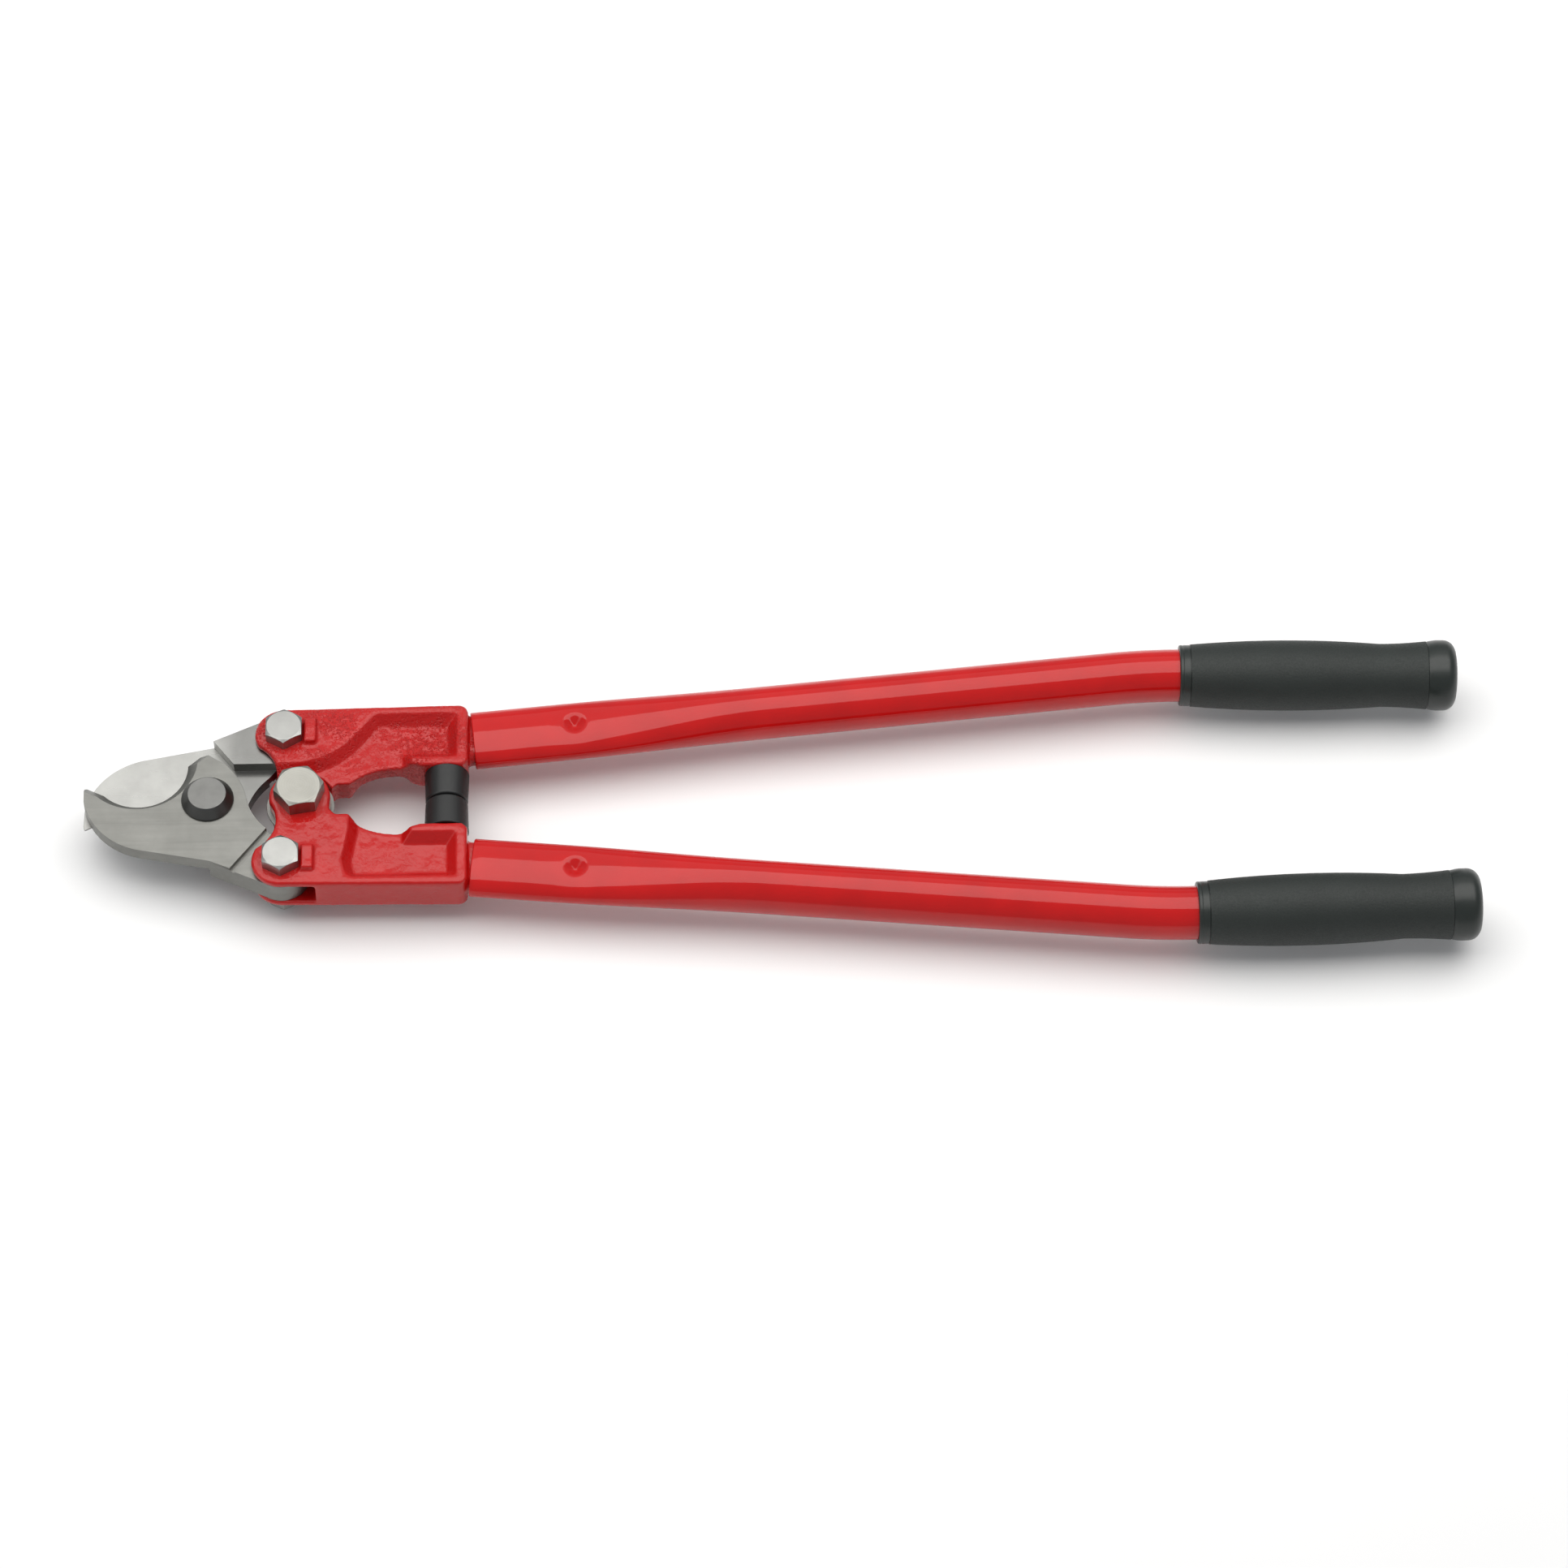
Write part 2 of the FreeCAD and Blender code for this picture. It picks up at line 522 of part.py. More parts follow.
def make_jaw(name, pivot_bore):
    """Drawn as the lower jaw: the blade lies in front of the shear plane."""
    body = new_body(name)
    plate = new_sketch(body, name + "_plate", height=BLADE_BACK)
    outline(plate, blade_corners() + [("dim.line_x", "dim.line_y")] + hub_corners())
    extrude(body, "Pad", name + "_blade", plate, "dim.blade_thick")

    centre = Vector(size("edge_low_x"), size("edge_low_y") + size("edge_rad"), 0)
    front = worth(BLADE_FRONT)

    def cutting(edge):
        if not at_height(front)(edge):
            return False
        middle = edge.valueAt((edge.FirstParameter + edge.LastParameter) / 2)
        near = (Vector(middle.x, middle.y, 0) - centre).Length < size("edge_rad") + size("bevel_wide")
        return near and middle.x < size("crest_x") and middle.x > size("tip_top_x")
    bevel_deep = "dim.blade_thick - dim.bevel_land"
    dress(body, "Chamfer", name + "_bevel", cutting, bevel_deep, "dim.bevel_wide")

    arm = new_sketch(body, name + "_arm", height=BLADE_BACK)
    outline(arm, [("dim.heel_x", "dim.heel_y")] + tail_corners() + hub_corners()[:1]
            + [("dim.hub_x", "dim.hub_y")])
    extrude(body, "Pad", name + "_arm_pad", arm, TAIL_FRONT + " - " + BLADE_BACK)
    tail = new_sketch(body, name + "_tail", height="-" + TAIL_FRONT)
    outline(tail, [("dim.heel_x", "dim.heel_y")] + tail_corners()
            + [("dim.step_in_x", STEP_Y), ("dim.step_x", STEP_Y)])
    extrude(body, "Pad", name + "_tail_pad", tail, TAIL_FRONT + " + " + BLADE_BACK)

    line = new_sketch(body, name + "_line", height=TAIL_FRONT)
    outline(line, [("dim.waist_x", "dim.waist_y"), ("dim.line_x", "dim.line_y"),
                   ("dim.line_x + dim.line_wide", "dim.line_y - dim.line_wide"),
                   ("dim.waist_x + dim.line_wide", "dim.waist_y - dim.line_wide")])
    extrude(body, "Pocket", name + "_groove", line, "dim.line_deep")

    bores = new_sketch(body, name + "_bores")
    circle(bores, "dim.pivot_x", "0", pivot_bore)
    circle(bores, "dim.ear_x", "-dim.ear_y", "dim.jaw_bolt_dia / 2 + dim.bore_room")
    extrude(body, "Pocket", name + "_bolt_bores", bores, "dim.yoke_thick * 2", both_ways=True)
    return body


# ---------------------------------------------------------------- fasteners

HEX_ROUND = 0.475
HEX_CUT = 0.13


def hexagon(sketch, across, degrees="0"):
    outline(sketch, [turn("0", "0", across + " / 2 / cos(30 deg)", "(%s + %d)" % (degrees, corner))
                     for corner in range(30, 390, 60)])


def hex_bevel(body, name, across, face, down):
    """Turn the corners of a hexagon down, outside HEX_ROUND of its width across the flats."""
    profile = new_sketch(body, name + "_cut", plane="XZ_Plane")
    inside = "%s * %s" % (across, HEX_ROUND)
    outside = "%s * %s" % (across, HEX_ROUND + HEX_CUT)
    drop = "%s * %s * tan(30 deg)" % (across, HEX_CUT)
    level = "%s %s %s" % (face, "-" if down else "+", drop)
    corners = [(inside, face), (outside, face), (outside, level)]
    outline(profile, corners if not down else corners[::-1])
    spin(body, "Groove", name, profile, "V_Axis")


def make_hex_bolt(name, across, head, shank, length, degrees="0"):
    """Origin under the head; the shank runs down."""
    body = new_body(name)
    top = new_sketch(body, name + "_hexagon")
    hexagon(top, across, degrees)
    extrude(body, "Pad", name + "_head", top, head)
    hex_bevel(body, name + "_head_bevel", across, head, True)
    rod = new_sketch(body, name + "_rod")
    circle(rod, "0", "0", shank + " / 2")
    extrude(body, "Pad", name + "_shank", rod, length, downwards=True)
    dress(body, "Chamfer", name + "_point", at_height(-worth(length)), "dim.thread_chamfer")
    return body


def make_nut(name, across, high, bore, degrees="0"):
    """Origin on its upper face; drawn downwards."""
    body = new_body(name)
    plan = new_sketch(body, name + "_hexagon", height="-(%s)" % high)
    hexagon(plan, across, degrees)
    extrude(body, "Pad", name + "_blank", plan, high)
    hex_bevel(body, name + "_top_bevel", across, "0", True)
    hex_bevel(body, name + "_low_bevel", across, "-(%s)" % high, False)
    hole = new_sketch(body, name + "_hole")
    circle(hole, "0", "0", bore + " / 2")
    extrude(body, "Pocket", name + "_thread", hole, high)
    return body


def make_washer(name, rad, bore, thick):
    """Origin on its upper face; drawn downwards."""
    body = new_body(name)
    plan = new_sketch(body, name + "_ring", height="-(%s)" % thick)
    circle(plan, "0", "0", rad)
    circle(plan, "0", "0", bore)
    extrude(body, "Pad", name + "_disc", plan, thick)
    return body


def make_pivot_bolt(name):
    """A shouldered bolt with a low conical head. Origin under the head."""
    body = new_body(name)
    profile = new_sketch(body, name + "_profile", plane="XZ_Plane")
    outline(profile, [
        ("0", "-(%s)" % PIVOT_LONG), ("dim.pivot_thread / 2", "-(%s)" % PIVOT_LONG),
        ("dim.pivot_thread / 2", "-(%s)" % PIVOT_SHOULDER),
        ("dim.pivot_dia / 2", "-(%s)" % PIVOT_SHOULDER), ("dim.pivot_dia / 2", "0"),
        ("dim.pivot_head_rad", "0"), ("dim.pivot_head_rad", "dim.pivot_rim"),
        ("dim.pivot_top_rad", "dim.pivot_head_high"), ("0", "dim.pivot_head_high"),
    ])
    spin(body, "Revolution", name + "_turning", profile, "V_Axis")
    return body


JAW_GRIP = "dim.yoke_thick + dim.washer_thick"
CENTRE_GRIP = "dim.yoke_thick + dim.washer_thick"
PIVOT_SHOULDER = "(2 * %s + dim.pivot_seat + dim.washer_room)" % BLADE_FRONT
PIVOT_LONG = PIVOT_SHOULDER + " + dim.washer_thick + dim.pivot_nut_high + dim.bolt_past_nut"

made = []


def place(sub_part, x=0.0, y=0.0, z=0.0, rotation=None):
    sub_part.Placement = Placement(Vector(x, y, z), rotation or Rotation())
    made.append(sub_part)


HALF_TURN = Rotation(Vector(1, 0, 0), 180)
half = size("yoke_thick") / 2
washer = size("washer_thick")
ear_x = size("ear_x")
ear_y = size("ear_y")
slope = math.radians(size("tube_slope"))

place(make_yoke("upper_yoke"))
place(make_yoke("lower_yoke"), rotation=HALF_TURN)

# The straight part inside each grip leans back towards the middle by the grip's own slope.
corner = Vector(size("yoke_end_x"), ear_y, 0)
corner = corner + Vector(math.cos(slope), math.sin(slope), 0) * size("tube_bend_at")
lean = math.radians(size("grip_slope"))
collar = corner + Vector(math.cos(lean), -math.sin(lean), 0) * size("grip_from")
for name, side in (("upper", 1), ("lower", -1)):
    flip = Rotation() if side > 0 else HALF_TURN
    tube_turn = Rotation(Vector(0, 0, 1), size("tube_slope"))
    grip_turn = Rotation(Vector(0, 0, 1), -size("grip_slope"))
    place(make_tube(name + "_handle_tube"), size("yoke_end_x"), side * ear_y, 0, flip * tube_turn)
    place(make_grip(name + "_grip"), collar.x, side * collar.y, 0, flip * grip_turn)
    towards_seam = Rotation(Vector(1, 0, 0), 90 * side)
    place(make_bumper(name + "_bumper"), size("bumper_at"), side * size("pad_y"), 0, towards_seam)
    jaw_length = JAW_GRIP + " + dim.jaw_nut_high + dim.bolt_past_nut"
    place(make_hex_bolt(name + "_jaw_bolt", "dim.jaw_hex", "dim.jaw_head", "dim.jaw_bolt_dia",
                        jaw_length), ear_x, side * ear_y, half)
    place(make_washer(name + "_jaw_washer", "dim.jaw_hex / 2", "dim.jaw_bolt_dia / 2",
                      "dim.washer_thick"), ear_x, side * ear_y, -half)
    place(make_nut(name + "_jaw_nut", "dim.jaw_hex", "dim.jaw_nut_high", "dim.jaw_bolt_dia"),
          ear_x, side * ear_y, -half - washer)

centre_length = CENTRE_GRIP + " + dim.centre_nut_high + dim.bolt_past_nut"
place(make_hex_bolt("centre_bolt", "dim.centre_hex", "dim.centre_head", "dim.centre_dia",
                    centre_length, "dim.centre_turn"), 0, 0, half)
place(make_washer("centre_washer", "dim.centre_washer_rad", "dim.centre_dia / 2", "dim.washer_thick"),
      0, 0, -half)
place(make_nut("centre_nut", "dim.centre_hex", "dim.centre_nut_high", "dim.centre_dia"),
      0, 0, -half - washer)
lug_washer_thick = "dim.lug_gap - 2 * dim.lug_washer_gap"
place(make_washer("lug_washer", "dim.lug_washer_rad", "dim.centre_dia / 2 + dim.bore_room",
                  lug_washer_thick), 0, 0, worth(lug_washer_thick) / 2)

place(make_jaw("lower_jaw", "dim.pivot_dia / 2"))
place(make_jaw("upper_jaw", "dim.pivot_dia / 2 + dim.open_pivot_room"), rotation=HALF_TURN)
pivot_top = worth(BLADE_FRONT)
pivot_low = pivot_top - worth(PIVOT_SHOULDER)
place(make_pivot_bolt("jaw_pivot_bolt"), size("pivot_x"), 0, pivot_top)
place(make_washer("jaw_pivot_washer", "dim.pivot_washer_rad", "dim.pivot_thread / 2", "dim.washer_thick"),
      size("pivot_x"), 0, pivot_low)
place(make_nut("jaw_pivot_nut", "dim.pivot_hex", "dim.pivot_nut_high", "dim.pivot_thread"),
      size("pivot_x"), 0, pivot_low - washer)

doc.recompute()

# The finished origin is the middle of the tool's box, on the surface that it lies on.
box = FreeCAD.BoundBox()
for sub_part in made:
    box.add(sub_part.Shape.optimalBoundingBox(False, False))
shift = Vector(-(box.XMin + box.XMax) / 2, -(box.YMin + box.YMax) / 2, -box.ZMin)
for sub_part in made:
    sub_part.Placement = Placement(shift, Rotation()) * sub_part.Placement
doc.recompute()
print("box", box.XLength, box.YLength, box.ZLength, "shift", tuple(shift))

for item in doc.Objects:
    if "Invalid" in item.State or "Error" in item.State:
        raise ValueError("%s failed: %s" % (item.Name, item.State))
for sub_part in made:
    shape = sub_part.Shape
    if shape.isNull() or not shape.isValid() or len(shape.Solids) != 1:
        raise ValueError("%s is not one valid solid" % sub_part.Label)

os.makedirs("parts", exist_ok=True)
for sub_part in made:
    sub_part.Shape.exportStep("parts/%s.step" % sub_part.Label)
print("wrote", len(made), "sub-parts")
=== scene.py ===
import json
import math

import bmesh
import bpy
from mathutils import Matrix, Vector


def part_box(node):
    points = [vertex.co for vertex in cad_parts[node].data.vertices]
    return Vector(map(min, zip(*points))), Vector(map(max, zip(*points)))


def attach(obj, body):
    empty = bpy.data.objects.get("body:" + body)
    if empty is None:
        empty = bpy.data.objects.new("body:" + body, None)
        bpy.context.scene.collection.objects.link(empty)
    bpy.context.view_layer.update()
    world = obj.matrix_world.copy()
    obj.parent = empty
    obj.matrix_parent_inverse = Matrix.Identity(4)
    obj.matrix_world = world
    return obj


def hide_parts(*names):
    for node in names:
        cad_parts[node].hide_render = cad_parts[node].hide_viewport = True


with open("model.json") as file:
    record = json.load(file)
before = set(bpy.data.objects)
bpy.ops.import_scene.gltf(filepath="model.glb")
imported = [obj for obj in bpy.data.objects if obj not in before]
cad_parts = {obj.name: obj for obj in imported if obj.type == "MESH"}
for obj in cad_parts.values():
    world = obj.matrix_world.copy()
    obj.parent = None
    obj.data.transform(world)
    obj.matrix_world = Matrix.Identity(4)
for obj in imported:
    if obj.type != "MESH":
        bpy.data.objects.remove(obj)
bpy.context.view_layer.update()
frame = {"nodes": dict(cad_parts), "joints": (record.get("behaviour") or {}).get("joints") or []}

# Compound-action cutter with shear blades, lying flat. The sizes below are in millimetres, and MM
# turns them into metres where a mesh is made. The studio, lamps and camera are in metres.
MM = 0.001
UPPER, LOWER = "upper", "lower"

joint_at = {joint["name"]: Vector(joint["pos_m"]) for joint in frame["joints"]}
CENTRE = joint_at["handle_pivot"]
EAR_Y = (joint_at["upper_jaw_hinge"].y - CENTRE.y) / MM

# handle tubes
SOCKET_X = 79.5
TUBE_DIA = 25.4
TUBE_WALL = 2.0
TUBE_FLAT = 16.0
TUBE_START = 2.0
TUBE_LIP = 0.6
TUBE_SLOPE = math.radians(5.67)
GRIP_SLOPE = math.radians(1.03)
FLAT_END = 46.0
ROUND_FROM = 142.0
BEND_AT = 328.0
BEND_RAD = 300.0
CROWN = 0.7
CRIMP_AT = 51.0
CRIMP_RAD = 6.3
CRIMP_DEEP = 3.1
SHOULDER_DEEP = 0.8
SHOULDER_WIDE = 9.0
PUNCH_DEEP = 0.35
PUNCH_WIDE = 1.1
CRIMP_REACH = 25.0
CRIMP_FINE = 12.0
TUBE_AROUND = 152

# threads: half a tooth's width as a share of the pitch, and the root's depth in such halves
TOOTH_SHARE = 0.46
ROOT_TEETH = 1.1

# fits and finishes
MERGE_WITHIN = 0.01
FLAT_WITHIN = math.radians(0.8)
EASE_PLAIN = 0.2
EASE_THIN = 0.12
HEAD_FACE = 0.4
CAST_VOXEL = 0.62
CAST_SMOOTHINGS = 12
CAST_WAVE = 0.3
CAST_WAVE_SIZE = 6.0

# painted shade: the back blade's colour is darkened from this far before the centre bolt, over this
# length, to this share, for the shade on its tail
TAIL_SHADE_BEFORE = 45.0
TAIL_SHADE_OVER = 14.0
TAIL_SHADE_SHARE = 0.62

# studio, in metres
FLOOR_HALF = 4.0
LAMP_WHITE = (1.0, 0.985, 0.96)
SKY_WHITE = (0.95, 0.97, 1.0)
SKY_STRENGTH = 0.45

# grips
GRIP_FROM = 15.6
GRIP_LONG = 133.4
GRIP_CAP = 6.0
GRIP_BORE = 12.75
COLLAR_LONG = 5.5
COLLAR_RAD = 14.7
WAIST_AT = 97.0
WAIST_RAD = 15.2
BULB_AT = 124.0
BULB_RAD = 17.0
BODY_SWELL_RAD = 566.0
WAIST_HOLLOW_RAD = 220.0
END_BAND = 14.0
END_ROUND = 6.0
END_FACE_RAD = 6.5
END_FACE_DEEP = 0.3
GRIP_AROUND = 112


# ---------------------------------------------------------------- materials

def node_material(name):
    """An empty node material with its shader."""
    material = bpy.data.materials.new(name)
    material.use_nodes = True
    tree = material.node_tree
    return material, tree, tree.nodes["Principled BSDF"]


def add(tree, kind, **inputs):
    """A node with some of its sockets set to numbers or joined to other nodes' sockets."""
    node = tree.nodes.new(kind)
    for key, value in inputs.items():
        socket = node.inputs[key.replace("_", " ")]
        if isinstance(value, bpy.types.NodeSocket):
            tree.links.new(value, socket)
        else:
            socket.default_value = value
    return node


def worked_out(tree, operation, first, second):
    """One step of arithmetic, on numbers or sockets."""
    node = tree.nodes.new("ShaderNodeMath")
    node.operation = operation
    for socket, value in zip(node.inputs, (first, second)):
        if isinstance(value, bpy.types.NodeSocket):
            tree.links.new(value, socket)
        else:
            socket.default_value = value
    return node.outputs["Value"]


def object_place(tree, scale=(1, 1, 1), turn=0.0):
    """Object coordinates, stretched and turned about Z."""
    place = tree.nodes.new("ShaderNodeTexCoord").outputs["Object"]
    mapping = add(tree, "ShaderNodeMapping", Vector=place, Scale=scale, Rotation=(0, 0, turn))
    return mapping.outputs["Vector"]


def noise(tree, place, scale, detail=3.0, roughness=0.55):
    """Soft noise, with scale as its lumps in a metre."""
    return add(tree, "ShaderNodeTexNoise", Vector=place, Scale=scale, Detail=detail,
               Roughness=roughness).outputs["Fac"]


def ramp(tree, fac, low, high, colors):
    """A two-ended ramp from colors[0] at low to colors[1] at high."""
    node = add(tree, "ShaderNodeValToRGB", Fac=fac)
    ends = node.color_ramp.elements
    for end, position, color in zip(ends, (low, high), colors):
        end.position = position
        end.color = (*color, 1)
    return node.outputs["Color"]


def spread(tree, fac, low, high, to_low, to_high):
    """Maps fac from low..high to to_low..to_high."""
    node = add(tree, "ShaderNodeMapRange", Value=fac)
    for key, value in zip(("From Min", "From Max", "To Min", "To Max"), (low, high, to_low, to_high)):
        node.inputs[key].default_value = value
    return node.outputs["Result"]


def bump(tree, height, deep, under=None):
    """Bumps of a depth in millimetres, on top of another normal if there is one."""
    node = add(tree, "ShaderNodeBump", Height=height, Strength=1.0, Distance=deep * MM)
    if under:
        tree.links.new(under, node.inputs["Normal"])
    return node.outputs["Normal"]


def red_enamel(name, red, peel_deep, pit_deep, coat_rough):
    """Gloss enamel. The depths of its orange peel and of the pits under it are in millimetres."""
    material, tree, shader = node_material(name)
    place = object_place(tree)
    darker = tuple(share * 0.86 for share in red)
    cloud = noise(tree, place, scale=45.0, detail=4.0)
    tree.links.new(ramp(tree, cloud, 0.3, 0.7, (darker, red)), shader.inputs["Base Color"])
    haze = noise(tree, place, scale=160.0, detail=4.0)
    tree.links.new(spread(tree, haze, 0.3, 0.7, 0.38, 0.5), shader.inputs["Roughness"])
    peel = noise(tree, place, scale=260.0, detail=2.0)
    normal = bump(tree, peel, peel_deep)
    if pit_deep:
        grain = noise(tree, place, scale=780.0, detail=3.0, roughness=0.6)
        patches = spread(tree, noise(tree, place, scale=55.0, detail=2.0), 0.42, 0.58, 0.25, 1.0)
        pits = spread(tree, grain, 0.36, 0.5, 0.0, 1.0)
        normal = bump(tree, worked_out(tree, "MULTIPLY", pits, patches), pit_deep, normal)
    tree.links.new(normal, shader.inputs["Normal"])
    tree.links.new(normal, shader.inputs["Coat Normal"])
    shader.inputs["Specular IOR Level"].default_value = 0.03
    shader.inputs["Coat Weight"].default_value = 1.0
    shader.inputs["Coat IOR"].default_value = 1.4
    shader.inputs["Coat Roughness"].default_value = coat_rough
    return material


def bare_steel(name, color, roughness, brush, brush_deep, turn=0.0, swirl=None, painted_shade_from=None):
    """Metal with fine marks drawn out along one direction, or turned rings about a point.
    Past painted_shade_from along X its colour is darkened, as painted shade."""
    material, tree, shader = node_material(name)
    if swirl is None:
        marks = noise(tree, object_place(tree, brush, turn), 1.0, 3.0, 0.6)
    else:
        place = tree.nodes.new("ShaderNodeTexCoord").outputs["Object"]
        centred = add(tree, "ShaderNodeMapping", Vector=place, Location=-swirl).outputs["Vector"]
        rings = add(tree, "ShaderNodeTexWave", Vector=centred, Scale=260.0, Distortion=1.5, Detail=2.0)
        rings.wave_type = "RINGS"
        rings.rings_direction = "Z"
        marks = rings.outputs["Fac"]
    stain = noise(tree, object_place(tree), 70.0, 4.0)
    duller = tuple(share * 0.84 for share in color)
    shade = ramp(tree, stain, 0.32, 0.68, (duller, color))
    if painted_shade_from is not None:
        # painted shade: the base colour is scaled down along X, darker towards the tail
        along = add(tree, "ShaderNodeSeparateXYZ", Vector=object_place(tree)).outputs["X"]
        share = spread(tree, along, painted_shade_from, painted_shade_from + TAIL_SHADE_OVER * MM, 1.0, TAIL_SHADE_SHARE)
        tail_shading = tree.nodes.new("ShaderNodeVectorMath")
        tail_shading.operation = "SCALE"
        tree.links.new(shade, tail_shading.inputs["Vector"])
        tree.links.new(share, tail_shading.inputs["Scale"])
        shade = tail_shading.outputs["Vector"]
    tree.links.new(shade, shader.inputs["Base Color"])
    tree.links.new(spread(tree, marks, 0.25, 0.75, roughness * 0.85, roughness * 1.2),
                   shader.inputs["Roughness"])
    tree.links.new(bump(tree, marks, brush_deep), shader.inputs["Normal"])
    shader.inputs["Metallic"].default_value = 1.0
    return material


def moulded_rubber(name, color, roughness, grain_scale, grain_deep):
    """Dark rubber with a moulded grain."""
    material, tree, shader = node_material(name)
    place = object_place(tree)
    dust = noise(tree, place, 35.0, 5.0)
    lighter = tuple(share * 1.35 for share in color)
    tree.links.new(ramp(tree, dust, 0.35, 0.75, (color, lighter)), shader.inputs["Base Color"])
    grain = noise(tree, place, grain_scale, 2.0, 0.5)
    tree.links.new(spread(tree, grain, 0.3, 0.7, roughness * 0.9, roughness * 1.12),
                   shader.inputs["Roughness"])
    tree.links.new(bump(tree, grain, grain_deep), shader.inputs["Normal"])
    shader.inputs["Specular IOR Level"].default_value = 0.42
    return material


def pale_floor():
    """Matt pale paper."""
    material, tree, shader = node_material("pale_floor")
    mottle = noise(tree, object_place(tree), 3.0)
    tree.links.new(ramp(tree, mottle, 0.2, 0.8, ((0.79, 0.79, 0.79), (0.81, 0.81, 0.81))),
                   shader.inputs["Base Color"])
    shader.inputs["Roughness"].default_value = 0.7
    return material


CASTING_RED = (0.42, 0.0045, 0.0042)
TUBE_RED = (0.46, 0.0035, 0.0036)
GRIP_BLACK = (0.0098, 0.0134, 0.0118)
BUMPER_BLACK = (0.005, 0.0055, 0.0055)
FRONT_BLADE_GREY = (0.22, 0.22, 0.205)
BACK_BLADE_GREY = (0.37, 0.37, 0.355)
ALONG_BLADE = (30, 700, 300)
cast_upper = red_enamel("enamel_on_pitted_casting", CASTING_RED, peel_deep=0.08, pit_deep=0.32,
                        coat_rough=0.09)
cast_lower = red_enamel("enamel_on_casting", CASTING_RED, peel_deep=0.04, pit_deep=0.05, coat_rough=0.08)
tube_enamel = red_enamel("enamel_on_tube", TUBE_RED, peel_deep=0.012, pit_deep=0.0, coat_rough=0.07)
blade_front = bare_steel("ground_blade_steel", FRONT_BLADE_GREY, 0.44, ALONG_BLADE, 0.003, turn=0.5)
# the back blade's colour is darkened towards its tail as painted shade
blade_back = bare_steel("bright_blade_steel", BACK_BLADE_GREY, 0.3, ALONG_BLADE, 0.002, turn=-0.2,
                        painted_shade_from=CENTRE.x - TAIL_SHADE_BEFORE * MM)
zinc = bare_steel("zinc_plated_steel", (0.34, 0.34, 0.327), 0.32, (420, 420, 420), 0.012)
zinc_turned = bare_steel("turned_zinc_steel", (0.33, 0.325, 0.295), 0.34, None, 0.006, swirl=CENTRE)
pivot_dark = bare_steel("oiled_dark_steel", (0.11, 0.11, 0.105), 0.34, (160, 160, 160), 0.01)
# the top face of the pivot bolt's head gets a lighter grey than the rest of the bolt
pivot_head_top_grey = bare_steel("lighter_top_dark_steel", (0.18, 0.18, 0.173), 0.42, (300, 300, 300), 0.012)
grip_grain = moulded_rubber("stippled_grip_rubber", GRIP_BLACK, 0.6, grain_scale=1250.0, grain_deep=0.16)
grip_smooth = moulded_rubber("smooth_grip_rubber", GRIP_BLACK, 0.33, grain_scale=500.0, grain_deep=0.01)
bumper_black = moulded_rubber("black_bumper_rubber", BUMPER_BLACK, 0.4, grain_scale=600.0, grain_deep=0.01)


# ---------------------------------------------------------------- mesh helpers

def new_piece(name, mesh):
    """An object for a mesh, at the origin."""
    piece = bpy.data.objects.new(name, mesh)
    bpy.context.scene.collection.objects.link(piece)
    return piece


def settle(piece):
    """Turns a piece's modifiers into plain mesh."""
    bpy.context.view_layer.update()
    ready = piece.evaluated_get(bpy.context.evaluated_depsgraph_get())
    mesh = bpy.data.meshes.new_from_object(ready)
    piece.modifiers.clear()
    piece.data = mesh
    return piece


def smooth_faces(mesh, sharp_from=None):
    """Smooth shading, with edges sharper than an angle left hard."""
    tool = bmesh.new()
    tool.from_mesh(mesh)
    for face in tool.faces:
        face.smooth = True
    for edge in tool.edges:
        folded = len(edge.link_faces) == 2 and sharp_from and edge.calc_face_angle(0.0) > sharp_from
        edge.smooth = not folded
    tool.to_mesh(mesh)
    tool.free()


def merged_copy(node, name):
    """A copy of a CAD node with its loose triangles joined up into faces."""
    source = frame["nodes"][node].data
    mesh = bpy.data.meshes.new(name)
    mesh.from_pydata([vert.co[:] for vert in source.vertices], [],
                     [face.vertices[:] for face in source.polygons])
    tool = bmesh.new()
    tool.from_mesh(mesh)
    bmesh.ops.remove_doubles(tool, verts=tool.verts, dist=MERGE_WITHIN * MM)
    bmesh.ops.dissolve_limit(tool, angle_limit=FLAT_WITHIN, verts=tool.verts, edges=tool.edges)
    tool.to_mesh(mesh)
    tool.free()
    return new_piece(name, mesh)


def fit_out(piece, node, body, slot_name, *materials):
    """Puts a finished piece in the place of a CAD node."""
    piece.data.materials.clear()
    for material in materials:
        piece.data.materials.append(material)
    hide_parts(node)
    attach(piece, body)
    return piece


def turn_down(piece, axis, level, root_rad):
    """Thins a bolt's shank to the root of its thread, from its end up to just past a level."""
    tool = bmesh.new()
    tool.from_mesh(piece.data)
    taper_end = level + 0.2 * MM
    for height in (level + 0.5 * MM, taper_end):
        everything = tool.verts[:] + tool.edges[:] + tool.faces[:]
        bmesh.ops.bisect_plane(tool, geom=everything, plane_co=(0, 0, height), plane_no=(0, 0, 1))
    for vert in tool.verts:
        spoke = Vector((vert.co.x - axis.x, vert.co.y - axis.y, 0))
        if vert.co.z < taper_end + 0.01 * MM and spoke.length > root_rad:
            vert.co -= spoke * (1 - root_rad / spoke.length)
    tool.to_mesh(piece.data)
    tool.free()


